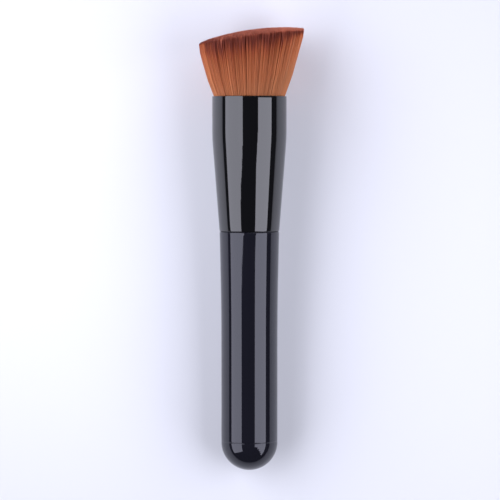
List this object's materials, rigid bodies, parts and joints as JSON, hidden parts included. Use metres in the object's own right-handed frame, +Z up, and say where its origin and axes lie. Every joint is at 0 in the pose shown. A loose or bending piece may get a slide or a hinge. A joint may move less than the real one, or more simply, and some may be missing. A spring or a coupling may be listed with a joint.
{
  "type": "kabuki makeup brush",
  "caption": "Face brush lying on its side: round-ended lacquered handle, flared metal ferrule and a dense tuft cut to a slanted dome.",
  "frame": {"origin": "centre of the box's underside, on the table that the brush lies on", "axes": "+Z up, +Y from the round butt towards the tuft, +X towards the tuft's tall side"},
  "size_m": [0.0276, 0.1149, 0.0275],
  "materials": {
    "black_lacquer": "gloss black lacquer",
    "glue": "set epoxy",
    "black_metal": "gloss black enamel",
    "insert_plastic": "moulded, satin",
    "root_resin": "set epoxy",
    "band_thread": "waxed thread",
    "bristle_filament": "fine copper coloured filaments"
  },
  "bodies": {
    "root": {"handle": "black_lacquer", "tenon_glue": "glue", "ferrule_shell": "black_metal", "ferrule_insert": "insert_plastic", "root_resin": "root_resin", "root_band": "band_thread", "bristles": "bristle_filament"}
  },
  "joints": []
}
